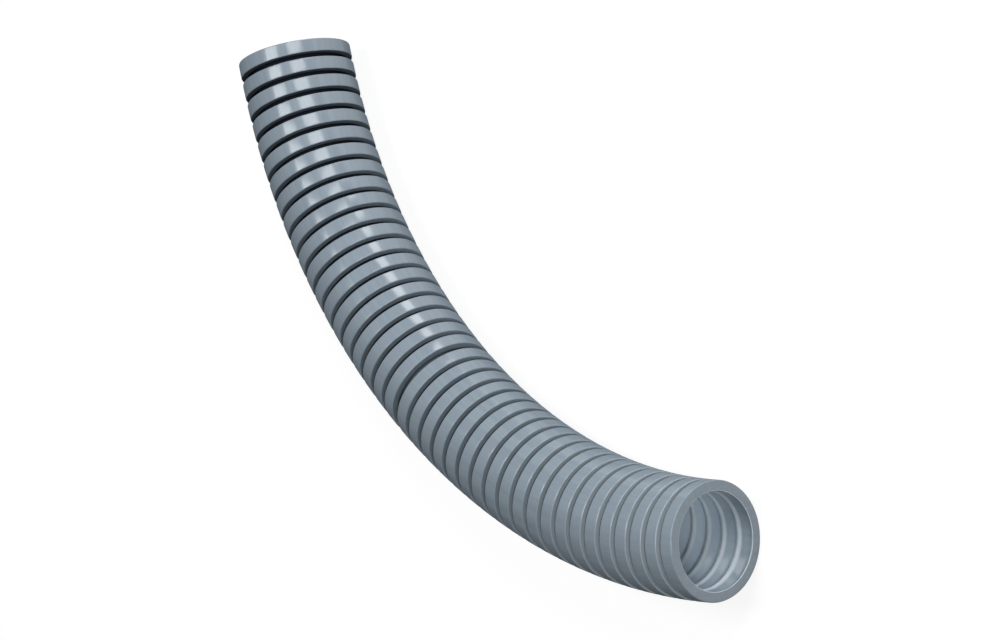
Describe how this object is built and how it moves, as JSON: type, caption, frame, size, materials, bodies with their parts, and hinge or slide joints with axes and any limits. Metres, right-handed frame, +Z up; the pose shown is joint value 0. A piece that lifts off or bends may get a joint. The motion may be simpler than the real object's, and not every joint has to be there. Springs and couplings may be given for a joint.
{
  "type": "corrugated conduit",
  "caption": "Length of bent corrugated plastic conduit with flat-topped rings and an open bore for cables.",
  "frame": {"origin": "middle of the outline, on the floor that the conduit lies on", "axes": "+X along the chord from end to end, +Y towards the inside of the bend, +Z up"},
  "size_m": [0.2098, 0.0576, 0.0285],
  "materials": {
    "plastic": "blue-grey moulded nylon, satin sheen"
  },
  "bodies": {
    "root": {"conduit": "plastic"}
  },
  "joints": []
}
